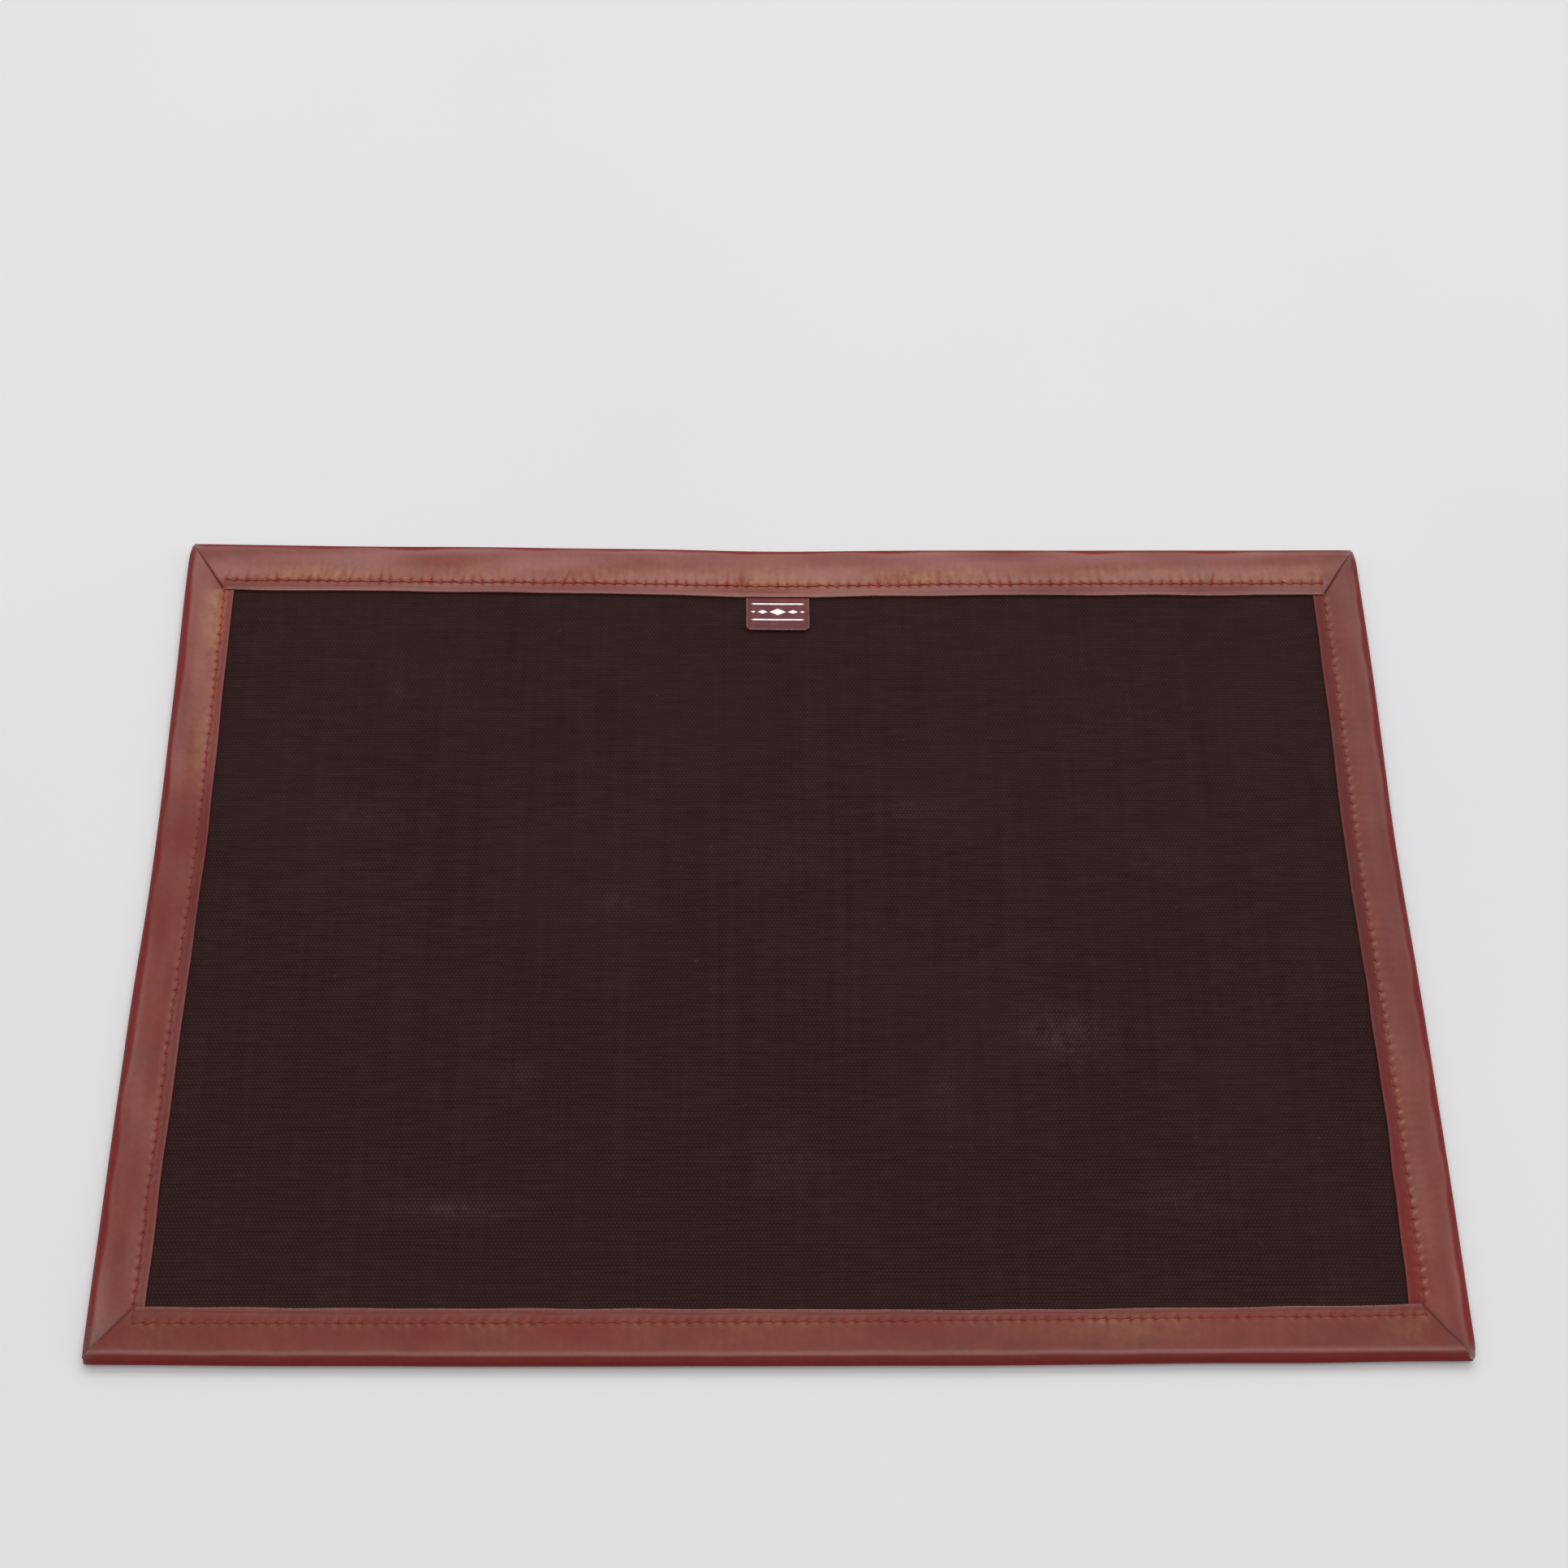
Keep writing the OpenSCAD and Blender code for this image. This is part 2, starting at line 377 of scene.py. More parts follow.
def leather(name, dark, light, patina, specular=0.38, rough=0.46):
    """Smooth calf: mottled, ochre where it was rubbed, deep red where the dye is whole.

    The mesh gives two sets of masks: wear is ochre, fold and raw; tone is dye, pale and grime.
    Ochre also holds painted highlights, pale holds painted highlights and painted sheen, and fold
    holds painted shade.
    """
    made, tree, shader = surface(name, specular)
    where = place(tree)
    ochre, fold, raw = mask_colours(tree, "wear")
    dye, pale, grime = mask_colours(tree, "tone")
    cloud = ramp(tree, noise(tree, where, 16 * MM, 4.0), 0.3, 0.7)
    colour = blend(tree, cloud, dark, light)
    patch = ramp(tree, noise(tree, where, 5 * MM, 4.0, 0.6), 0.2, 0.7)
    # Rubbed ochre, and painted ochre highlights on the bulges by the stitches.
    colour = blend(tree, times(tree, ochre, patch), colour, patina)
    # Pale worn leather, and painted highlights and painted sheen.
    colour = blend(tree, pale, colour, PALE_WEAR_AND_HIGHLIGHT)
    colour = blend(tree, dye, colour, WHOLE_DYE)
    # Darker leather, and painted shade in folds, the stitch groove, the edge roll and beside the mitres.
    colour = blend(tree, fold, colour, DARKENING_AND_SHADE)
    mottle = ramp(tree, noise(tree, where, 1.5 * MM, 5.0, 0.6), 0.25, 0.75)
    colour = blend(tree, 0.26, colour, blend(tree, mottle, grey(0.3), grey(1.0)), "MULTIPLY")
    smear = ramp(tree, noise(tree, where, 2.2 * MM, 4.0, 0.65), 0.35, 0.7)
    colour = blend(tree, times(tree, grime, smear), colour, GREY_GRIME)
    scuff = ramp(tree, noise(tree, where, 0.9 * MM, 3.0, 0.6), 0.25, 0.6)
    colour = blend(tree, times(tree, raw, scuff), colour, CUT_EDGE)
    dull = plus(tree, times(tree, mottle, 0.35), sums(tree, "MAXIMUM", dye, raw))
    dull = spread(tree, dull, rough - 0.06, rough + 0.2)
    soft = bump(tree, noise(tree, where, 4 * MM), 0.22 * MM, 0.45)
    pebble = noise(tree, where, 0.55 * MM, 3.0, 0.6)
    finish(tree, shader, colour, dull, bump(tree, pebble, 0.07 * MM, 0.55, soft))
    return made


def canvas_cloth(name):
    """Plain weave with stout picks across and finer ends up and down, rubbed pale in places."""
    made, tree, shader = surface(name, 0.13, 0.02)
    ends, picks = 0.65 * MM, 1.16 * MM
    where = place(tree)
    rubbed, soiled, _ = mask_colours(tree, "wear")
    parts = add(tree, "SeparateXYZ", {"Vector": where})
    drift = times(tree, sums(tree, "SUBTRACT", noise(tree, where, 9 * MM), 0.5), 0.5 * MM)
    along, across = (sums(tree, "SINE", times(tree, plus(tree, parts.outputs[axis], drift), math.pi / pitch))
                     for axis, pitch in (("X", ends), ("Y", picks)))
    crossing = times(tree, along, across)
    rib = sums(tree, "ABSOLUTE", across)
    knuckle = times(tree, sums(tree, "ABSOLUTE", along), rib)
    height = plus(tree, times(tree, knuckle, 0.6), times(tree, crossing, 0.4))
    slub = noise(tree, place(tree, (0.12, 1, 1)), 1.1 * MM, 2.0)
    weave = ramp(tree, plus(tree, height, times(tree, slub, 0.6)), -0.1, 1.2)
    colour = blend(tree, weave, WEAVE_LOW, WEAVE_HIGH)
    warp_bar = ramp(tree, noise(tree, place(tree, (1, 0.03, 1)), 3.2 * MM, 4.0, 0.6), 0.3, 0.7)
    colour = blend(tree, 0.34, colour, blend(tree, warp_bar, grey(0.6), grey(1.0)), "MULTIPLY")
    cloud = ramp(tree, noise(tree, where, 55 * MM, 4.0), 0.3, 0.7)
    colour = blend(tree, 0.3, colour, blend(tree, cloud, CLOUDED, grey(1.0)), "MULTIPLY")
    colour = blend(tree, times(tree, soiled, 0.14), colour, SOILED)
    broken = ramp(tree, noise(tree, where, 5 * MM, 4.0, 0.7), 0.3, 0.72)
    chalk = times(tree, times(tree, rubbed, broken), weave)
    colour = blend(tree, chalk, colour, CHALKY)
    speck = ramp(tree, noise(tree, where, 1.0 * MM, 1.0), 0.79, 0.86)
    colour = blend(tree, times(tree, speck, 0.35), colour, LINT)
    finish(tree, shader, colour, 0.88, bump(tree, height, 0.22 * MM, 0.9))
    return made


def waxed_thread(name):
    """Linen thread, twisted and waxed, more or less faded as the mesh's tone masks say."""
    made, tree, shader = surface(name, 0.35)
    where = place(tree)
    vivid, pale, _ = mask_colours(tree, "tone")
    fibre = noise(tree, where, 0.18 * MM, 2.0)
    colour = blend(tree, vivid, DULL_THREAD, VIVID_THREAD)
    colour = blend(tree, pale, colour, FADED_THREAD)
    strand = ramp(tree, fibre, 0.3, 0.7)
    colour = blend(tree, 0.5, colour, blend(tree, strand, grey(0.55), grey(1.0)), "MULTIPLY")
    finish(tree, shader, colour, 0.58, bump(tree, fibre, 0.05 * MM, 0.6))
    return made


def silver_foil(name):
    """Stamped foil that has worn a little thin."""
    made, tree, shader = surface(name, 0.5)
    where = place(tree)
    thin = ramp(tree, noise(tree, where, 0.45 * MM, 4.0, 0.7), 0.28, 0.5)
    colour = blend(tree, thin, THIN_FOIL, WHOLE_FOIL)
    feed(tree, shader, {"Metallic": 0.3})
    finish(tree, shader, colour, spread(tree, thin, 0.6, 0.4), bump(tree, thin, 0.03 * MM, 0.5))
    return made


def fibrous(name, dark, light, size, rough=0.95, sheen=0.0, depth=0.1):
    """Felt, suede or pulp board: short fibres lying every way."""
    made, tree, shader = surface(name, 0.2, sheen)
    where = place(tree)
    fleck = noise(tree, where, size, 6.0, 0.75)
    cloud = noise(tree, where, size * 22)
    mixed = ramp(tree, plus(tree, fleck, times(tree, cloud, 0.6)), 0.5, 1.1)
    colour = blend(tree, mixed, dark, light)
    finish(tree, shader, colour, rough, bump(tree, fleck, depth * MM, 0.7))
    return made


def table_top(name):
    """A plain pale surface, very faintly uneven, that runs on into the backdrop far from the mat."""
    made, tree, shader = surface(name, 0.2)
    where = place(tree)
    cloud = ramp(tree, noise(tree, where, 0.4), 0.3, 0.7)
    feed(tree, shader, {"Base Color": blend(tree, cloud, TABLE_LOW, TABLE_HIGH), "Roughness": 0.8})
    away = add(tree, "VectorMath", {0: where}, operation="LENGTH").outputs["Value"]
    seen = add(tree, "LightPath").outputs["Is Camera Ray"]
    far = times(tree, ramp(tree, away, NEAR_FLOOR, FAR_FLOOR), seen)
    plain = add(tree, "Emission", {"Color": BACKDROP, "Strength": BACKDROP_LEVEL})
    mixed = add(tree, "MixShader", {"Fac": far, 1: shader.outputs[0], 2: plain.outputs[0]})
    tree.links.new(mixed.outputs[0], tree.nodes["Material Output"].inputs["Surface"])
    return made


CALF = leather("oxblood_calf", (0.19, 0.022, 0.013, 1), (0.25, 0.036, 0.022, 1), (0.45, 0.195, 0.078, 1))
TAB_CALF = leather("tab_calf", (0.125, 0.015, 0.017, 1), (0.16, 0.022, 0.024, 1),
                   (0.24, 0.08, 0.055, 1), 0.3, 0.5)
CANVAS = canvas_cloth("brown_canvas")
THREAD = waxed_thread("waxed_red_thread")
FOIL = silver_foil("worn_silver_foil")
FELT = fibrous("grey_felt", (0.12, 0.11, 0.1, 1), (0.3, 0.28, 0.25, 1), 0.9 * MM, 0.95, 0.3)
BOARD = fibrous("pulp_board", (0.27, 0.23, 0.17, 1), (0.47, 0.42, 0.33, 1), 1.2 * MM, 0.9)
SUEDE = fibrous("red_suede", (0.075, 0.017, 0.012, 1), (0.17, 0.045, 0.034, 1), 0.7 * MM, 0.95, 0.25, 0.16)

# ---- bindings

# A binding is described by u, along its length, and q, inwards from its outer edge. Its lengths are
# in metres where MM is given; drift, lip_in, reach, halo and blush hold plain millimetres.
# Shape: width is the strip's, row how far in its stitches run, and drift how much further in they
# stray at its start and end. roll and under are the radii of the edge's upper and lower turn, power
# how square the upper one is. laps says that its ends lie over its neighbours. pucker is how much
# the stitches draw the leather, reach how far those folds run, channel how deep the row lies, ribs
# how high the ridges outside it are, sunk how deep the thread lies and loose how far it strays.
# lip_in is a place along u, a reach and how far in the lip strays there.
# Dye: dye is how far the whole dye of the outer edge comes over the top, waver how unevenly, core
# how much painted shade darkens the roll under its top, and crest how bright the painted
# highlight along that top of the roll is. row_dye is how strong the dye is along the stitches,
# inner_dye between them and the lip, glow how red the strip stayed at its start and end, and blush a
# place along u, a reach and a strength of more dye right across.
# Wear: ochre is how much the leather by the row was rubbed, base and slope where along u, streaks
# how streaky that is, halo how wide it lies, ticks how much painted ochre highlight lies on
# the bulges between the stitches and tan how much ochre lies all over. knobs is how bright
# the painted pale highlight on those bulges is, bloom how much pale sheen is painted all
# over, lip_pale how pale it is by its lip and lip_raw how bare its cut edge is. deep is how dark the
# strip is at its start, middle and end, and shade how much painted shade lies there between row and
# lip. vivid is how red the thread is at the row's start and end, faded how much of it went pale, and
# seed starts the strip's own random draws.
COMMON = dict(
    roll=2.4 * MM, under=1.6 * MM, power=2.0, pucker=0.6, ribs=0.1, lip_in=(0, 1, 0), waver=0.2, crest=0.1,
    tan=0.0, faded=0.1)


def described(**own):
    """A binding's description: what bindings have in common, with its own values over that."""
    return SimpleNamespace(**{**COMMON, **own})


STRIPS = {
    "back": described(
        axis=0, width=END_Y - BACK_IN, row=END_Y - BACK_ROW, laps=True, roll=2.2 * MM, pucker=0.9, reach=5,
        channel=0.15 * MM, ribs=0.3, sunk=0.05 * MM, loose=0.3 * MM, drift=(1.2, 0.1), dye=1.8 * MM,
        waver=0.3, core=0.0, row_dye=0.4, inner_dye=0.0, glow=(0.0, 0.0), blush=(0, 1, 0), ochre=1.3,
        base=0.75, slope=0.25, streaks=0.22, halo=5.6, ticks=0.1, knobs=0.15, bloom=0.36, lip_pale=0.16,
        lip_raw=0.28, deep=(0.06, 0.0, 0.15), shade=(0.3, 0.0, 0.3), vivid=(0.75, 0.8), seed=11),
    "front": described(
        axis=0, width=FRONT_IN + END_Y, row=FRONT_ROW + END_Y, laps=True, roll=3.5 * MM, under=2.4 * MM,
        power=1.65, reach=3, channel=0.03 * MM, sunk=0.2 * MM, loose=0.06 * MM, drift=(-1.2, 0.6),
        lip_in=(85, 85, -0.7), dye=2.6 * MM, waver=0.05, core=0.25, crest=1.0, row_dye=0.12, inner_dye=0.1,
        glow=(0.66, 0.3), blush=(75, 40, 0.18), ochre=0.6, base=0.25, slope=0.45, streaks=0.15, halo=4.6,
        ticks=0.3, tan=0.09, knobs=0.45, bloom=0.0, lip_pale=0.12, lip_raw=0.25, deep=(0.38, 0.3, 0.35),
        shade=(0, 0.04, 0.04), vivid=(0.3, 0.5), faded=0.0, seed=23), "left": described(
        axis=1, width=LEFT_IN + SIDE_X, row=LEFT_ROW + SIDE_X, laps=False, reach=1.8, channel=0.05 * MM,
        sunk=0.12 * MM, loose=0.35 * MM, drift=(0.8, 1.15), dye=2.8 * MM, core=0.15, row_dye=0.25,
        inner_dye=0.35, glow=(0.3, 0.0), blush=(20, 32, 0.6), ochre=1.6, base=-0.35, slope=1.3,
        streaks=0.04, halo=5.2, ticks=0.15, knobs=0.4, bloom=0.24, lip_pale=0.08, lip_raw=0.12,
        deep=(0.24, 0.17, 0.04), shade=(0.1, 0.3, 0.0), vivid=(0.1, 0.9), seed=37), "right": described(
        axis=1, width=SIDE_X - RIGHT_IN, row=SIDE_X - RIGHT_ROW, laps=False, pucker=0.8, reach=3.5,
        channel=0.04 * MM, ribs=0.2, sunk=0.16 * MM, loose=0.08 * MM, drift=(1.45, 1.4),
        lip_in=(-150, 45, 1.4), dye=2.5 * MM, core=0.08, crest=0.2, row_dye=0.45, inner_dye=0.85,
        glow=(0.05, 0.28), blush=(-15, 60, 0.22), ochre=0.45, base=0.35, slope=0.15, streaks=0.2, halo=4.4,
        ticks=1.2, knobs=0.5, bloom=0.14, lip_pale=0.0, lip_raw=0.1, deep=(0.12, 0.34, 0.4),
        shade=(0.1, 0.4, 0.2), vivid=(0.2, 0.2), faded=0.5, seed=53),
}
# A mark on the back binding beside the tab: its X and Y, and its reach each way in millimetres.
STAIN = (-13.8 * MM, 142 * MM, 1.2, 4.2)
# Added to a strip's seed for the draws of its underside, and for those of its stitches.
LOWER_SEED, THREAD_SEED = 500, 77


def row_at(strip, u):
    """How far in from a binding's outer edge its stitches run at u."""
    half = SIDE_X if strip.axis == 0 else END_Y
    return strip.row + np.interp(u, (-half, half), strip.drift) * MM


def row_holes(axis):
    """Places of the stitch holes along a long row (axis 0) or a side row (axis 1)."""
    if axis == 0:
        first, last = LEFT_ROW + ROW_SHORT[0], RIGHT_ROW - ROW_SHORT[1]
    else:
        first, last = FRONT_IN + TIP_GAP, BACK_IN - TIP_GAP
    return np.linspace(first, last, round((last - first) / STITCH_PITCH) + 1)


def to_plan(side, u, q):
    """X and Y of a point of a binding."""
    if side == "back":
        return u, END_Y - q
    if side == "front":
        return u, q - END_Y
    if side == "left":
        return q - SIDE_X, u
    return SIDE_X - q, u


def meet(end, way):
    """Where a mitre leaves its corner: how far in from the side's edge and from the end's."""
    if end == "front" and way < 0:
        return 0.8 * MM, 2.3 * MM
    return 1.5 * MM, 0.5 * MM


def mitre_slope(end, way):
    """How far a mitre runs in along X for each step in along Y."""
    meet_x, meet_y = meet(end, way)
    inner = MITRE_IN + (MITRE_MORE if end == "front" and way > 0 else 0)
    return (inner - meet_x) / (STRIPS[end].width - meet_y)


def mitre_run(end, way, q):
    """How far from the middle a long binding reaches at the distance q from its outer edge."""
    meet_x, meet_y = meet(end, way)
    return SIDE_X - meet_x - np.clip(q - meet_y, 0, None) * mitre_slope(end, way)


def mitre_depth(end, way, q):
    """How far from the end's outer edge a side binding meets the mitre."""
    meet_x, meet_y = meet(end, way)
    depth = meet_y + np.clip(q - meet_x, 0, None) / mitre_slope(end, way)
    return np.minimum(depth, STRIPS[end].width)


def mitre_ends(side, q):
    """Where a binding starts and ends along u, at the distance q from its outer edge."""
    if STRIPS[side].axis == 0:
        return -mitre_run(side, -1, q), mitre_run(side, 1, q)
    way = -1 if side == "left" else 1
    front, back = mitre_depth("front", way, q), mitre_depth("back", way, q)
    return front - END_Y - MITRE_TUCK, END_Y - back + MITRE_TUCK


def nearest(u, holes):
    """Signed distance to the nearest hole, and that hole's number."""
    step = holes[1] - holes[0]
    index = np.clip(np.round((u - holes[0]) / step), 0, len(holes) - 1).astype(int)
    return u - holes[index], index


def stitch_marks(strip, u, q, seed, face):
    """What the stitches and the lip do to each point of a face, mostly as shares up to 1."""
    holes = row_holes(strip.axis)
    rng = np.random.default_rng(seed)
    strength = rng.uniform(0.3, 1.0, len(holes)) ** 1.5
    lean = rng.uniform(-0.4, 0.4, len(holes))
    reach = rng.uniform(0.3, 1.0, len(holes)) * strip.reach
    at = SimpleNamespace(seed=seed, span=holes[-1] - holes[0], lip=strip.width - q)
    at.du, index = nearest(u, holes)
    at.d = q - row_at(strip, u)
    at.outward = at.d < 0
    begun = ease(u, holes[0] - 1.2 * MM, holes[0])
    at.in_row = begun * (1 - ease(u, holes[-1], holes[-1] + 1.2 * MM))
    at.pucker = strip.pucker if face > 0 else 0.5
    at.strength = strength[index]
    at.groove = bell(at.d, 0.75)
    at.pull = bell(at.du, 0.8) * bell(at.d, 1.4)
    fold_line = bell(at.du - lean[index] * at.d, 0.6) * np.where(
        at.outward, bell(at.d, reach[index]), bell(at.d, reach[index] * 0.4))
    at.fold = fold_line * at.strength * at.pucker
    chevron = (at.du - 0.6 * np.abs(at.d)) % STITCH_PITCH - STITCH_PITCH / 2
    at.knob = bell(chevron, 0.45) * bell(np.abs(at.d) - 1.1 * MM, 0.9)
    crease_line = at.lip - 1.6 * MM - 0.25 * MM * wander(u, 0 * u, 40, seed + 1)
    at.crease = bell(crease_line, 0.28)
    return at


def face_height(strip, u, q, at):
    """How far a binding's face lies above its plain level."""
    patch = np.clip(0.35 + 0.65 * wander(u, 0.2 * q, 55, at.seed + 7), 0, 1)
    span = ease(q, 1.5 * MM, 4 * MM) * (1 - ease(at.d, -1.5 * MM, 0))
    rib = np.cos(TURN * (at.du - 0.12 * at.d) / STITCH_PITCH) * patch * span * strip.ribs
    height = -at.in_row * (strip.channel * at.groove + PULL_DEEP * at.pull + FOLD_DEEP * at.fold)
    height += (KNOB_HIGH * at.knob * at.pucker - RIB_HIGH * rib) * at.in_row
    height -= CREASE_DEEP * at.crease + LIP_DROP * ease(at.d, 0, 3 * MM)
    height -= EDGE_DROP * (1 - ease(q, 0.8 * MM, strip.roll + 1.5 * MM))
    fine = FINE_UNEVEN * wander(u, q, 4, at.seed + 3)
    height += UNEVEN * wander(u, q, 16, at.seed + 2) + fine
    return height


def ochre_share(strip, u, q, at):
    """Where the leather is ochre: rubbed in patches along the row and by the stain, with painted ochre
    highlights on the bulges by the stitches.
    """
    patch = strip.base + strip.slope * (2 * u / at.span)
    patch = np.clip(patch + 0.4 * wander(u, 0.4 * q, 46, at.seed + 4), 0, 1)
    inner = 0.7 * bell(at.d, 1.4)
    halo = np.where(at.outward, bell(at.d + 1.8 * MM, strip.halo), inner)
    # Painted highlight: pale marks on the bulges just outside the row, between the holes.
    bulge_highlight = bell(np.abs(at.du) - STITCH_PITCH / 2, 0.7) * bell(at.d + 1.2 * MM, 0.7)
    rubbed = halo * patch * (0.8 + strip.streaks * at.streak) + 0.3 * bulge_highlight
    ochre = strip.ochre * at.in_row * rubbed
    ochre += 0.1 * np.clip(wander(u, q, 30, at.seed + 5), 0, 1)
    # Painted highlight: ochre on the bulges between the stitches.
    ochre += strip.ticks * at.in_row * at.knob * (0.3 + at.strength)
    ochre += 0.6 * at.stain + strip.tan
    return ochre


def darkening_and_shade(strip, u, q, at):
    """Where the leather is darker: by the crease and as the strip says, with painted shade in the folds, the
    stitch groove, between row and lip and on the edge roll.
    """
    along = (-at.span / 2, 0, at.span / 2)
    # Painted shade in the stitch groove and the folds; the crease line is darker leather.
    dark = at.in_row * (0.06 * at.groove + 0.1 * at.fold) + 0.22 * at.crease
    dark += np.interp(u, along, strip.deep) + 0.1 * at.stain
    dark += np.interp(u, along, strip.shade) * ease(at.d, -0.5 * MM, 1.2 * MM)
    dark += 0.4 * strip.blush[2] * at.blushed
    # Painted shade on the edge roll, just under its highlight.
    dark += strip.core * bell(q - at.spill + 1.1 * MM, 0.8)
    return dark


def dye_share(strip, u, q, at):
    """Where the dye is still whole: on the outer edge, in the folds and as the strip says."""
    soft = 1.3 * MM if strip.crest < 0.3 else 0.4 * MM
    glow = np.interp(u, (-at.span / 4, at.span / 4), strip.glow)
    blush = strip.blush[2] * at.blushed
    dye = 1 - ease(q, at.spill - soft / 2, at.spill + soft / 2)
    dye = np.maximum(dye, strip.row_dye * at.in_row * at.groove)
    dye = np.maximum(dye, at.in_row * (0.75 * at.fold + 0.6 * at.pull))
    dye = np.maximum(dye, 0.75 * at.stain)
    dye = np.maximum(dye, glow * at.warm * bell(at.d + 2 * MM, 6))
    dye = np.maximum(dye, blush)
    # Less dye under the painted highlights on the bulges between the stitches.
    dye = dye * (1 - np.clip(0.7 * strip.ticks * at.in_row * at.knob, 0, 0.8))
    inner = (strip.inner_dye + blush) * ease(at.d, -0.4 * MM, 1.2 * MM) * at.in_row
    return np.maximum(dye, inner)


def pale_wear_and_highlight(strip, u, q, at, dye):
    """Where the leather is paler: worn pale in streaks and by its lip, with painted highlights along the top
    of the edge roll and on the bulges by the stitches, and painted sheen.
    """
    streaky = np.where(at.outward, bell(at.d, 6), 0)
    pale = 0.6 * strip.streaks * np.clip(at.streak, 0, 1) * at.in_row * streaky
    # Painted sheen: a pale, uneven layer over the top face away from the dyed edge.
    sheen_haze = wander(0.5 * u, 3 * q, 26, at.seed + 12)
    pale += strip.bloom * np.clip(1 + sheen_haze, 0, 2) * (1 - dye)
    # Painted highlight along the top of the edge roll.
    pale += strip.crest * bell(q - at.spill - 0.9 * MM, 0.8)
    pale += strip.lip_pale * ease(-at.lip, -3.4 * MM, -2.2 * MM) * (1 - 0.5 * at.crease)
    # Painted highlights on the bulges between the stitches.
    shown = np.clip(0.55 + 0.8 * wander(u, 0 * u, 48, at.seed + 15), 0.1, 1.2)
    bulge = at.in_row * at.knob * np.where(at.outward, 1, 0.6) * (0.5 + at.strength)
    pale += strip.knobs * shown * bulge
    return pale


def relief(side, u, q, face=1):
    """A binding's face: its height above its plain level, and its wear and tone masks, which also hold
    painted shade, painted highlights and painted sheen.
    """
    strip = STRIPS[side]
    seed = strip.seed + (0 if face > 0 else LOWER_SEED)
    at = stitch_marks(strip, u, q, seed, face)
    at.streak = wander(u, 0.1 * q, 2.6, seed + 6)
    at.warm = np.clip(0.75 + 0.5 * wander(u, 0.5 * q, 50, seed + 14), 0, 1)
    at.spill = strip.dye * (1 + strip.waver * wander(u, 0 * u, 25, seed + 8))
    at.blushed = bell(u - strip.blush[0] * MM, strip.blush[1]) * at.warm
    at.stain = 0 * u
    if side == "back" and face > 0:
        at_x, at_y, reach_x, reach_y = STAIN
        at.stain = bell(u - at_x, reach_x) * bell(END_Y - q - at_y, reach_y)
    raw = strip.lip_raw * bell(at.lip, 0.45)
    # Painted highlight: a little bare-edge colour along the top of the edge roll.
    raw += 0.05 * strip.crest * bell(q - strip.dye - 0.8 * MM, 0.5)
    dye = dye_share(strip, u, q, at)
    grime = 0.25 * np.clip(wander(u, q, 22, seed + 10) - 0.3, 0, 1)
    wear = ochre_share(strip, u, q, at), darkening_and_shade(strip, u, q, at), raw
    return face_height(strip, u, q, at), wear, (dye, pale_wear_and_highlight(strip, u, q, at, dye), grime)


def mitre_effect(side, u, q):
    """How a face changes near the mitres: lapped edges stand proud, tucked ends sink, and painted shadow
    lies beside the lapped edges.
    """
    start, stop = mitre_ends(side, q)
    inside = np.minimum(u - start, stop - u)
    x, y = to_plan(side, u, q)
    corner = np.hypot(SIDE_X - np.abs(x), END_Y - np.abs(y))
    if STRIPS[side].laps:
        near = bell(corner, 8)
        height = -0.14 * MM * np.exp(-np.clip(inside, 0, None) / (0.4 * MM))
        dark = 0.75 * (1 - near) * bell(inside, 0.65)
        raw = (0.95 if side == "back" else 0.3) * near * bell(inside, 0.5)
    else:
        height = -0.5 * MM * bell(inside, 1.4)
        # Painted shadow of the lapped end, just beside the seam.
        dark = 0.8 * bell(inside - 0.35 * MM, 0.45)
        raw = 0 * inside
    height = height - 0.35 * MM * bell(corner, 3.0)
    raw = raw + (0.35 if side == "front" else 0.8) * bell(corner, 2.4)
    grime = 0.45 * bell(corner, 6) + 0.15 * bell(corner, 15)
    pale = 0 * u
    if side == "front":
        grime = grime * 0.35
    if side == "left":
        to_front = np.hypot(SIDE_X + x, END_Y + y)
        grime = grime + 1.5 * bell(to_front, 12)
        pale = pale + 0.75 * bell(to_front, 24)
        raw = raw * (1 - 0.8 * bell(to_front, 8))
        dark = dark + 0.7 * bell(to_front, 3.2)
    return height, (0 * u, dark, raw), (0 * u, pale, grime)


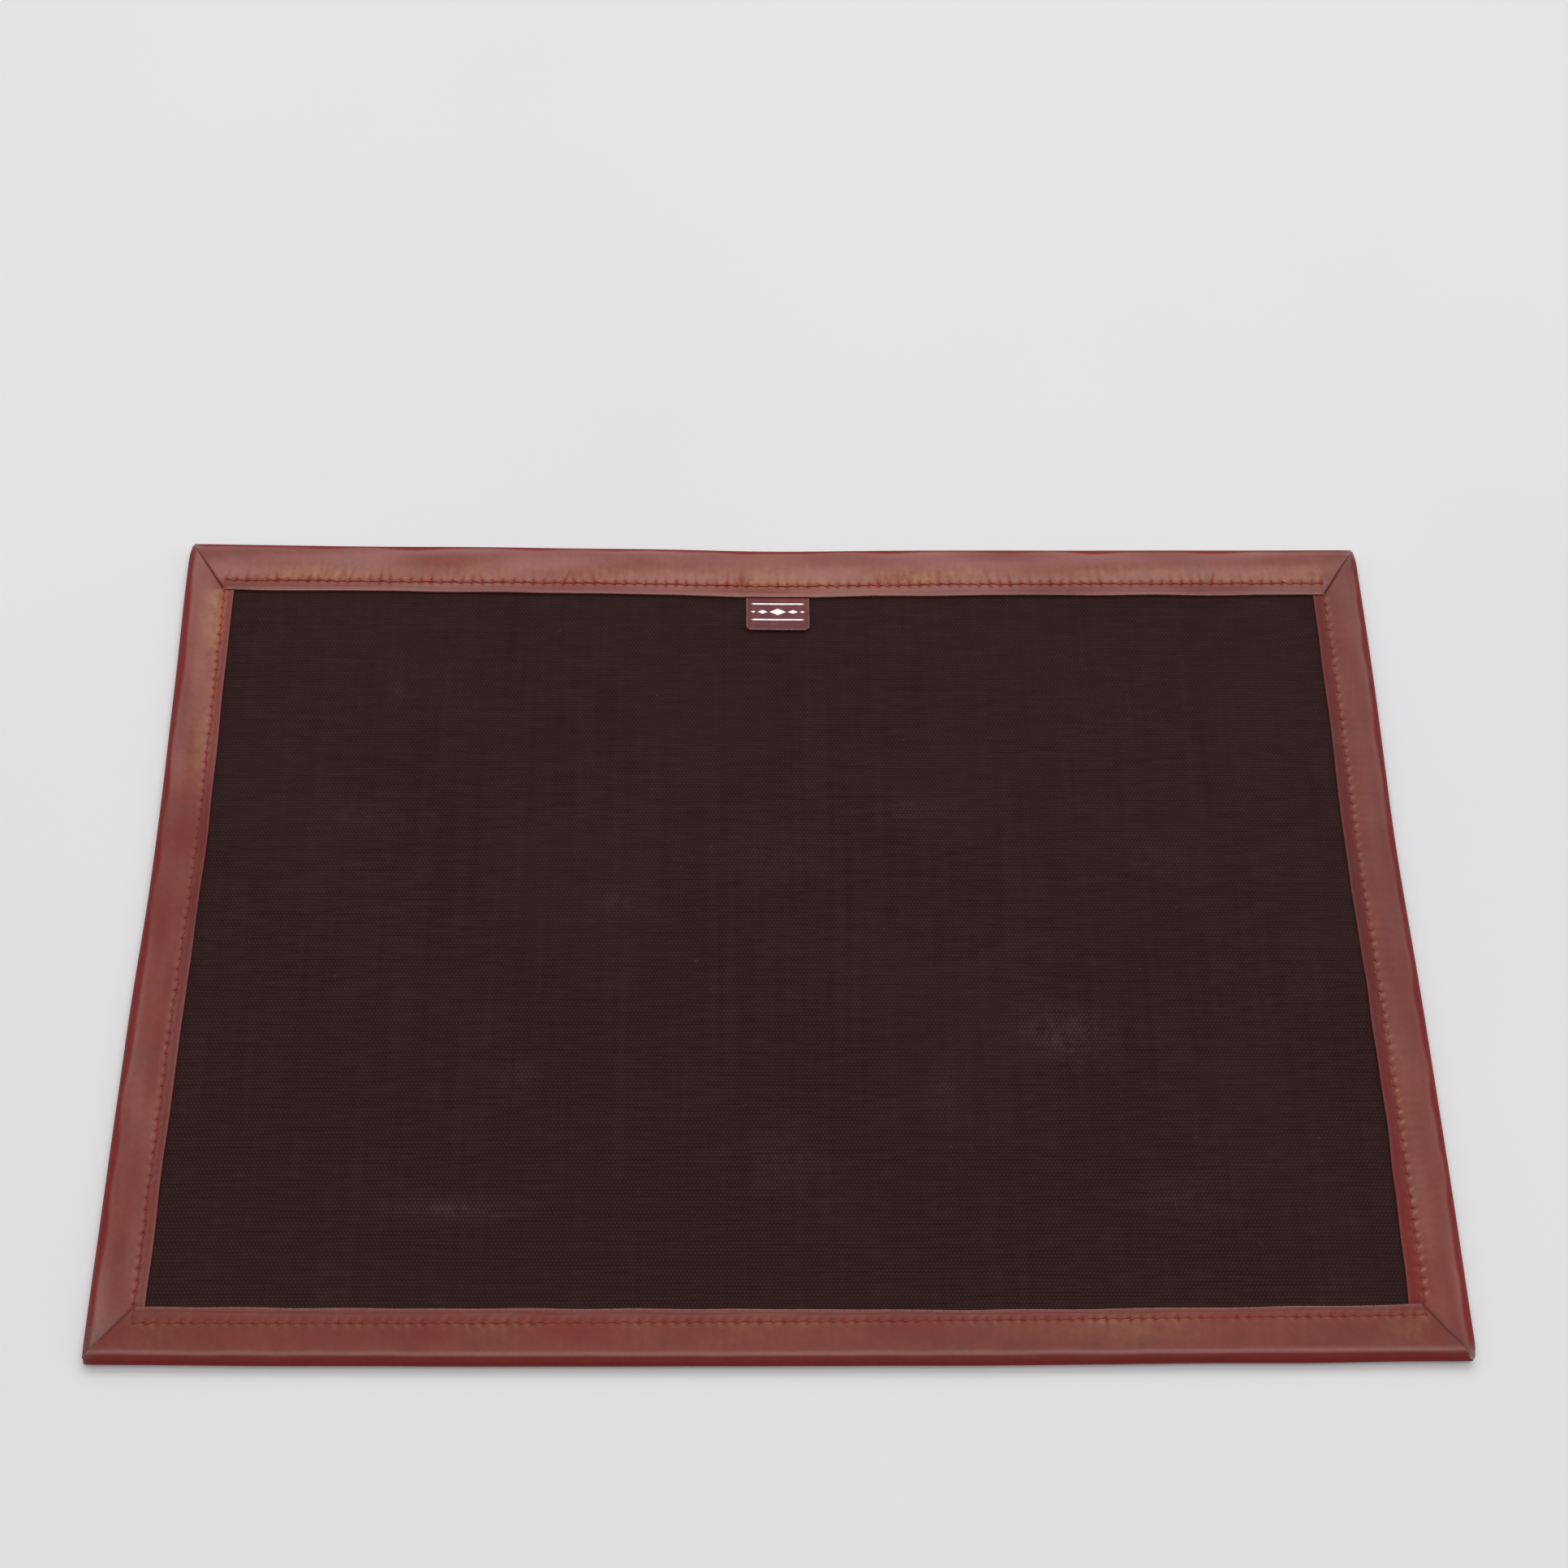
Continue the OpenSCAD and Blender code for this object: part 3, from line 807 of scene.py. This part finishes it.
def binding_ring(strip):
    """The closed section of a binding: rows of q, level, face share and skin share.

    face is 1 on the top leaf, -1 on the lower leaf and fades over the rolled edge; skin is 1
    on the visible grain side and 0 inside the fold.
    """
    width, roll_top = strip.width, strip.roll
    flat = np.concatenate([
        width - np.linspace(0, 1, 12) ** 1.4 * 3.0 * MM,
        np.linspace(width - 3.3 * MM, width - 8.5 * MM, 20),
        np.linspace(width - 8.9 * MM, roll_top + 2.2 * MM, 14),
        np.linspace(roll_top + 1.9 * MM, roll_top + 0.2 * MM, 7),
    ])
    half = (TOP_Z - 2 * BINDING_INSET) / 2
    centre = TOP_Z / 2
    ring = [(q, centre + half, 1.0, 1.0) for q in flat]
    for roll, sign, power in ((roll_top, 1, 2 / strip.power), (strip.under, -1, 1.0)):
        wall = max(half - roll, 0)
        turns = np.linspace(math.pi / 2, 0, 13) if sign > 0 else np.linspace(0, math.pi / 2, 9)
        for t in turns:
            level = wall + (half - wall) * math.sin(t) ** power
            q = roll * (1 - math.cos(t) ** power)
            ring.append((q, centre + sign * level, sign * math.sin(t), 1.0))
    for q in np.linspace(strip.under + 0.6 * MM, width - 0.2 * MM, 26):
        ring.append((q, centre - half, -1.0, 1.0))
    inner, upper = LEATHER_T, TOP_Z - LEATHER_T
    fold = [(width, 0.35 * MM), (width, inner), (width * 0.75, inner), (width * 0.4, inner),
            (inner * 1.7, inner), (inner, inner * 1.6), (inner, TOP_Z - inner * 1.6),
            (inner * 1.7, upper), (width * 0.4, upper), (width * 0.75, upper),
            (width - 0.04 * MM, upper), (width, upper + 0.25 * MM)]
    return np.array(ring + [(q, z, 0.0, 0.0) for q, z in fold])


def dressed(side, ring, u, q):
    """Levels of a binding's points, raised and lowered as it is worn, and their masks."""
    _, level, face, skin = ring.T
    z = np.broadcast_to(level, u.shape).copy()
    masks = {"wear": np.zeros(u.shape + (3,)), "tone": np.zeros(u.shape + (3,))}
    for sign in (1, -1):
        weight = np.clip(face * sign, 0, 1) ** 2 * skin
        height, *plain = relief(side, u, q, sign)
        lowered, *ends = mitre_effect(side, u, q)
        z += sign * weight * (height + lowered)
        for mask, worn, seam in zip(masks.values(), plain, ends):
            for channel in range(3):
                mask[..., channel] += weight * (worn[channel] + seam[channel])
    masks["wear"][..., 0] *= np.where(face < 0, 0.3, 1)
    wall = skin * (1 - ease(np.abs(face), 0.5, 0.9))
    masks["tone"][..., 0] = np.maximum(masks["tone"][..., 0], wall)
    x, y = to_plan(side, u, q)
    tip_reach = 1.7 if side == "front" else 3.2
    tip = bell(np.hypot(SIDE_X - np.abs(x), END_Y - np.abs(y)), tip_reach)
    bare = {"left": 0.15, "front": 0.5}.get(side, 0.75)
    masks["wear"][..., 2] = np.maximum(masks["wear"][..., 2], bare * tip * skin)
    return z, masks


def strayed(side, u, q, q0):
    """Distances from the outer edge, rounded and drawn in at the corners and uneven at the lip."""
    strip = STRIPS[side]
    half = SIDE_X if strip.axis == 0 else END_Y
    past = np.clip(np.abs(u) - (half - CORNER_R), 0, CORNER_R * 0.98)
    near_edge = 1 - ease(q, 0, 4.5 * MM)
    q = q + (CORNER_R - np.sqrt(CORNER_R ** 2 - past ** 2)) * near_edge
    if not strip.laps:
        drawn = np.where((side == "left") & (u < 0), 0.25, 1) * DRAW_IN
        q += drawn * np.clip((np.abs(u) - half + DRAW_REACH) / DRAW_REACH, 0, 1) ** 2 * near_edge
    lip = ease(q0, strip.width - 4 * MM, strip.width)
    lip_u, lip_reach, lip_shift = strip.lip_in
    q += 0.16 * MM * wander(u, 0 * u, 34, strip.seed + 8) * lip
    q += lip_shift * MM * bell(u - lip_u * MM, lip_reach) * lip
    q += 0.1 * MM * wander(u, 0 * u, 60, strip.seed + 9) * (1 - ease(q0, 0, 5 * MM))
    return q


def binding(side):
    """One folded leather binding, puckered along its stitches and mitred at its ends."""
    width = STRIPS[side].width
    ring = binding_ring(STRIPS[side])
    q0, level, _, skin = ring.T
    start, stop = mitre_ends(side, q0)
    steps = round((stop - start).max() / BINDING_STEP)
    u = start + (stop - start) * np.linspace(0, 1, steps + 1)[:, None]
    q = np.broadcast_to(q0, u.shape)
    z, masks = dressed(side, ring, u, q)
    if side == "back":
        over_tab = 1 - ease(np.abs(u), 12.2 * MM, 12.9 * MM)
        under_leaf = (skin == 0) & (level > TOP_Z / 2) & (q0 > width * 0.7)
        z += np.where(under_leaf, over_tab * TAB_SLOT, 0)
    z = np.maximum(z, TABLE_GAP)
    x, y = to_plan(side, u, strayed(side, u, q, q0))
    points = settle(in_rows(x, y, z))
    faces = tube_faces(steps + 1, len(q0))
    made = mesh_object(f"leather_binding_{side}", points, faces, CALF, masks)
    stand_in(made, "mat", "leather", f"binding_{side}")


# ---- stitches


def stitch_tube(path, twist_start, radius):
    """One stitch of two twisted plies along a path of X, Y and Z, thickest near its holes."""
    count = len(path)
    tangent = np.gradient(path, axis=0)
    tangent /= np.linalg.norm(tangent, axis=1)[:, None]
    across = np.cross(tangent, [0, 0, 1.0])
    across /= np.linalg.norm(across, axis=1)[:, None]
    upward = np.cross(across, tangent)
    turn = np.linspace(0, TURN, THREAD_SIDES, endpoint=False)[None, :]
    twist = np.linspace(0, 1.6 * math.pi, count)[:, None] + twist_start
    share = np.linspace(-1, 1, count)[:, None]
    swell = (0.52 + 0.9 * share ** 2) * (1 - 0.5 * np.abs(share) ** 12)
    size = radius * swell * (1 + 0.2 * np.cos(2 * (turn - twist)))
    offset = across[:, None] * (np.cos(turn) * size)[..., None]
    offset = offset + upward[:, None] * (np.sin(turn) * size)[..., None]
    return (path[:, None] + offset).reshape(-1, 3)


def stitch_spans(strip):
    """Both ends of every stitch of a row along u; a side row runs on to the long rows' ends."""
    holes = row_holes(strip.axis)
    if strip.axis == 1:
        holes = np.concatenate([[FRONT_ROW], holes, [BACK_ROW - ROW_SHORT[0]]])
    return list(zip(holes[:-1], holes[1:]))


def stitch_path(side, face, first, last, stray, rng):
    """The middle line of one stitch, which lies in the relief of its face."""
    strip = STRIPS[side]
    share = np.linspace(-1, 1, STITCH_POINTS)
    middle_u = (first + last) / 2
    reach = (last - first) / 2 - rng.uniform(0.05, 0.2) * MM
    u = middle_u + share * reach
    tilt = face * rng.uniform(0.1, 0.4) * MM
    v = row_at(strip, u) + tilt * share + np.interp(share, (-1, 1), stray)
    centre = np.full(1, middle_u)
    bed = relief(side, centre, row_at(strip, centre), face)[0][0]
    bed = -0.1 * MM if last - first > 1.2 * STITCH_PITCH else bed
    arch = (1 - np.abs(share) ** 3.0) * 0.2 * MM - 0.08 * MM
    z = TOP_Z - strip.sunk + bed + arch + rng.uniform(-0.04, 0.04) * MM
    x, y = to_plan(side, u, v)
    return np.stack([x, y, z if face > 0 else TOP_Z - z], axis=1)


def stitch_row(side):
    """Every stitch of one row, on the top face and on the underside."""
    strip = STRIPS[side]
    rng = np.random.default_rng(strip.seed + THREAD_SEED)
    dull, vivid = strip.vivid
    spans = stitch_spans(strip)
    size = STITCH_POINTS * THREAD_SIDES
    clouds, tones, faces = [], [], []
    for face in (1, -1):
        stray = rng.uniform(-1, 1, len(spans) + 1) * strip.loose
        for number, (first, last) in enumerate(spans):
            path = stitch_path(side, face, first, last, stray[number:number + 2], rng)
            faces += [[size * len(clouds) + k for k in corners]
                      for corners in tube_faces(STITCH_POINTS, THREAD_SIDES)]
            clouds.append(stitch_tube(path, rng.uniform(0, 6), THREAD_R * rng.uniform(0.9, 1.05)))
            red = dull + (vivid - dull) * ease((first + last) / 2, 20 * MM, 130 * MM)
            gone = strip.faded * rng.uniform(0, 1) ** 2
            tones += [[red * rng.uniform(0.7, 1.2), gone, 0]] * size
    cloud = settle(np.concatenate(clouds))
    cloud[:, 2] = np.maximum(cloud[:, 2], TABLE_GAP)
    made = mesh_object(f"stitches_{side}", cloud, faces, THREAD, {"tone": np.array(tones)})
    stand_in(made, "mat", "thread", f"stitching_{side}")


# ---- panel layers


# Places where the canvas has been rubbed pale: x, y, reach along x, reach along y (millimetres)
# and strength.
RUBS = (
    (98, -43, 13, 8, 0.38), (56, -65, 5, 8, 0.18), (-111, -106, 18, 3, 0.32), (-142, 92, 3, 5, 0.2),
    (-59, 7, 6, 4, 0.2), (-155, 39, 16, 5, 0.14), (50, 44, 13, 5, 0.16), (-3, 26, 14, 10, 0.12),
    (138, 26, 13, 8, 0.12), (-90, -59, 7, 5, 0.14), (132, -101, 13, 5, 0.15), (0, -89, 16, 11, 0.1),
)
# Each layer's name, CAD node, slot, material, mesh spacing, wave and seed.
LAYERS = (
    ("canvas_sheet", "canvas_panel", "canvas", CANVAS, 1.6 * MM, 0.05 * MM, 3),
    ("felt_sheet", "felt_interlining", "felt", FELT, 6 * MM, 0.02 * MM, 5),
    ("suede_lining", "base_lining", "lining", SUEDE, 2.5 * MM, 0.05 * MM, 7),
    ("pulp_board", "core_board", "board", BOARD, 6 * MM, 0.02 * MM, 9),
)


def canvas_wear(x, y):
    """Masks of the canvas: rubbed pale, and soiled greyer in broad, uneven patches."""
    rubbed = 0 * x
    for at_x, at_y, reach_x, reach_y, strength in RUBS:
        spot = bell(x - at_x * MM, reach_x) * bell(y - at_y * MM, reach_y)
        rubbed = np.maximum(rubbed, strength * spot)
    soiled = np.clip(0.3 + 0.7 * wander(x, y, 90, 301), 0, 1)
    return np.stack([rubbed, soiled, 0 * x], axis=-1)


def layer_sheet(name, low, high, material, spacing, wave, seed, worn=None):
    """A thin closed sheet with slightly uneven faces and softened edges."""
    nx = round((high[0] - low[0]) / spacing)
    ny = round((high[1] - low[1]) / spacing)
    along, up = np.linspace(low[0], high[0], nx + 1), np.linspace(low[1], high[1], ny + 1)
    x, y = np.meshgrid(along, up, indexing="ij")
    edge = np.minimum(high[0] - np.abs(x), high[1] - np.abs(y))
    calm = ease(edge, 0, 30 * MM)
    broad, fine = wander(x, y, 75, seed), wander(x, y, 28, seed + 1)
    swing = wave * calm * broad + wave * 0.5 * calm * fine
    points = slab_points(x, y, high[2] - wave * 1.2 * calm + swing, low[2] + wave * 1.2 * calm + swing)
    masks = {"wear": np.concatenate([worn(x, y).reshape(-1, 3)] * 2)} if worn else None
    return mesh_object(name, settle(points), slab_faces(nx + 1, ny + 1), material, masks)


def panel_layers():
    """The canvas, the felt under it, the board they lie on and the lining under the board."""
    for name, node, slot, material, spacing, wave, seed in LAYERS:
        low, high = node_box(node)
        worn = canvas_wear if material == CANVAS else None
        made = layer_sheet(name, low, high, material, spacing, wave, seed, worn)
        stand_in(made, "mat", slot, node)


# ---- label tab


def tab_profile(y):
    """Levels of the tab's lower and upper faces at y, and its half width."""
    free_end = TAB_LOW[1]
    out = np.clip((BACK_IN - y) / (BACK_IN - free_end), 0, 1)
    free = 1 - ease(y, BACK_IN - 1.6 * MM, BACK_IN + 0.4 * MM)
    root_z = ROOT_LOW[2] + TABLE_GAP
    under = root_z + (TAB_LOW[2] - ROOT_LOW[2] - TABLE_GAP) * free + TAB_LIFT * out ** 2.0
    thick = (ROOT_HIGH[2] - ROOT_LOW[2] - TABLE_GAP) * (1 - free)
    thick = thick + (TAB_HIGH[2] - TAB_LOW[2]) * free
    short = np.clip(TAB_CORNER_R - (y - free_end), 0, TAB_CORNER_R)
    cut = TAB_CORNER_R - np.sqrt(np.clip(TAB_CORNER_R ** 2 - short ** 2, 0, None))
    return under, under + thick, (TAB_HIGH[0] - TAB_LOW[0]) / 2 - cut


def tab_top(x, y):
    """The tab's upper face at x and y, with a creased line inside its edge."""
    under, top, half = tab_profile(y)
    inset = np.minimum(half - np.abs(x), y - TAB_LOW[1])
    top = top - 0.07 * MM * bell(inset - 1.1 * MM, 0.28)
    top = top - 0.16 * MM * bell(inset, 0.32)
    top = top + 0.03 * MM * wander(x, y, 9, 91)
    return under, top, half, inset


def label_tab():
    """The leather tab in one piece with its root, bending where it leaves the binding."""
    rows = np.concatenate([
        TAB_LOW[1] + (1 - np.cos(np.linspace(0, math.pi / 2, 9))) * 2.0 * MM,
        np.arange(TAB_LOW[1] + 2.3 * MM, BACK_IN - 3.0 * MM, 0.32 * MM),
        np.arange(BACK_IN - 3.0 * MM, BACK_IN + 1.0 * MM, 0.2 * MM),
        np.linspace(BACK_IN + 1.0 * MM, ROOT_HIGH[1] - 0.3 * MM, 8),
    ])
    across = np.sin(np.linspace(-1, 1, 61) * math.pi / 2) * 0.35 + np.linspace(-1, 1, 61) * 0.65
    y = np.repeat(rows[:, None], len(across), axis=1)
    half = tab_profile(y)[2]
    x = half * across[None, :]
    under, top, half, inset = tab_top(x, y)
    visible = 1 - ease(y, BACK_IN - 0.5 * MM, BACK_IN + 0.5 * MM)
    rubbed = 0.3 * np.clip(wander(x, y, 8, 93), 0, 1) * visible
    # Darker along the creased line inside the edge, and painted shadow where the tab runs under the binding.
    crease_and_lip_shadow = 0.45 * bell(inset - 1.1 * MM, 0.3) + 0.5 * ease(y, BACK_IN - 1.6 * MM, BACK_IN)
    edge = 0.5 * bell(inset, 0.35) * visible
    masks = {"wear": np.stack([rubbed, crease_and_lip_shadow, edge], axis=-1), "tone": np.zeros(x.shape + (3,))}
    masks = {key: np.concatenate([value.reshape(-1, 3)] * 2) for key, value in masks.items()}
    faces = slab_faces(len(rows), len(across))
    points = settle(slab_points(x, y, top, under))
    made = mesh_object("tab_leather", points, faces, TAB_CALF, masks)
    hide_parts("label_tab", "tab_root")
    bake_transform(made)


def foil_patch(outline, centre):
    """A thin raised patch of foil over the tab: outline(s, t) maps a unit square to x and y."""
    across, up = np.linspace(-1, 1, 3 * FOIL_GRID), np.linspace(-1, 1, FOIL_GRID)
    s, t = np.meshgrid(across, up, indexing="ij")
    x, y = outline(s, t)
    x, y = x + centre[0], y + centre[1]
    edge = 1 - np.maximum(np.abs(s), np.abs(t)) ** 6
    z = tab_top(x, y)[1] + (0.01 + 0.045 * edge) * MM
    return in_rows(x, y, z)


def lozenge_shape(half_w, half_h):
    """A lozenge whose rows narrow towards its left and right points."""
    return lambda s, t: (half_w * s, half_h * (1 - np.abs(s) * 0.96) * t)


def rule_shape(half_w, half_h):
    """A straight rule with rounded ends."""
    return lambda s, t: (half_w * s, half_h * t * np.sqrt(np.clip(1.001 - np.abs(s) ** 40, 0, 1)))


def foil_ornament():
    """Plain foil ornament: five lozenges in a row between two rules."""
    low, high = node_box("tab_foil")
    mid_x, mid_y = (low[0] + high[0]) / 2, (low[1] + high[1]) / 2
    half_tab = (TAB_HIGH[0] - TAB_LOW[0]) / 2
    half_rule = 0.35 * MM
    rule_y = (high[1] - low[1]) / 2 - half_rule
    big = half_tab * 0.26
    shapes = [(lozenge_shape(big, big / 2), (mid_x, mid_y))]
    for way in (-1, 1):
        shapes.append((rule_shape(half_tab * 0.85, half_rule), (mid_x, mid_y + way * rule_y)))
        shapes.append((lozenge_shape(big * 0.6, big * 0.3), (mid_x + way * big * 1.85, mid_y)))
        shapes.append((lozenge_shape(big * 0.3, big * 0.15), (mid_x + way * big * 3, mid_y)))
    clouds, faces = [], []
    for outline, centre in shapes:
        cloud = foil_patch(outline, centre)
        base = sum(len(c) for c in clouds)
        clouds.append(np.concatenate([cloud, cloud - [0, 0, FOIL_T]]))
        faces += [[base + k for k in corners] for corners in slab_faces(3 * FOIL_GRID, FOIL_GRID)]
    made = mesh_object("foil_ornament", settle(np.concatenate(clouds)), faces, FOIL)
    stand_in(made, "tab", "foil", "tab_foil")


# ---- floor, light and camera


def floor():
    mesh = bpy.data.meshes.new("table_top")
    corners = [(FLOOR_HALF * x, FLOOR_HALF * y, 0) for x, y in ((-1, -1), (1, -1), (1, 1), (-1, 1))]
    mesh.from_pydata(corners, [], [(0, 1, 2, 3)])
    mesh.materials.append(table_top("pale_table"))
    placed("table_top", mesh)


def area_light(name, place_at, aim, size, power):
    lamp = bpy.data.lights.new(name, "AREA")
    lamp.shape = "RECTANGLE"
    lamp.size, lamp.size_y = size
    lamp.energy = power
    made = placed(name, lamp)
    made.location = place_at
    made.rotation_euler = (Vector(aim) - Vector(place_at)).to_track_quat("-Z", "Y").to_euler()


def sky():
    """A dim surround for the reflections, seen by the camera itself as a plain pale backdrop."""
    world = bpy.data.worlds.new("studio_surround")
    world.use_nodes = True
    tree = world.node_tree
    dim = tree.nodes["Background"]
    dim.inputs["Color"].default_value = (1.0, 1.0, 1.0, 1)
    toward = add(tree, "TexCoord").outputs["Generated"]
    parts = add(tree, "SeparateXYZ", {"Vector": toward})
    level = spread(tree, ramp(tree, parts.outputs["Y"], -0.6, 0.2), 0.1, 0.48)
    sideways = ramp(tree, sums(tree, "ABSOLUTE", parts.outputs["X"]), 0.55, 0.95)
    level = plus(tree, level, times(tree, sideways, 0.2))
    tree.links.new(level, dim.inputs["Strength"])
    plain = add(tree, "Background", {"Color": BACKDROP, "Strength": BACKDROP_LEVEL})
    seen = add(tree, "LightPath").outputs["Is Camera Ray"]
    mixed = add(tree, "MixShader", {"Fac": seen, 1: dim.outputs[0], 2: plain.outputs[0]})
    tree.links.new(mixed.outputs[0], tree.nodes["World Output"].inputs["Surface"])
    bpy.context.scene.world = world


def lights():
    """A soft box above and behind the mat, a weaker one overhead, and a dim surround."""
    for box in SOFT_BOXES:
        area_light(*box)
    sky()


def camera():
    """A camera in front and well above, turned a little about its own axis."""
    azimuth, elevation, roll = (math.radians(a) for a in CAMERA_TURNS)
    aim = Vector(CAMERA_AIM)
    level = math.cos(elevation)
    away = Vector((math.sin(azimuth) * level, -math.cos(azimuth) * level, math.sin(elevation)))
    right = Vector((0, 0, 1)).cross(away).normalized()
    upward = away.cross(right)
    turned = math.cos(roll) * right + math.sin(roll) * upward
    top = away.cross(turned)
    lens = bpy.data.cameras.new("view")
    lens.sensor_width = CAMERA_SENSOR
    lens.lens = CAMERA_LENS
    made = placed("view", lens)
    axes = Matrix((turned, top, away)).transposed().to_4x4()
    made.matrix_world = Matrix.Translation(aim + away * CAMERA_AWAY) @ axes
    bpy.context.scene.camera = made


camera()
lights()
floor()
for edge in STRIPS:
    binding(edge)
    stitch_row(edge)
panel_layers()
label_tab()
foil_ornament()
bpy.context.scene.view_settings.view_transform = "Standard"
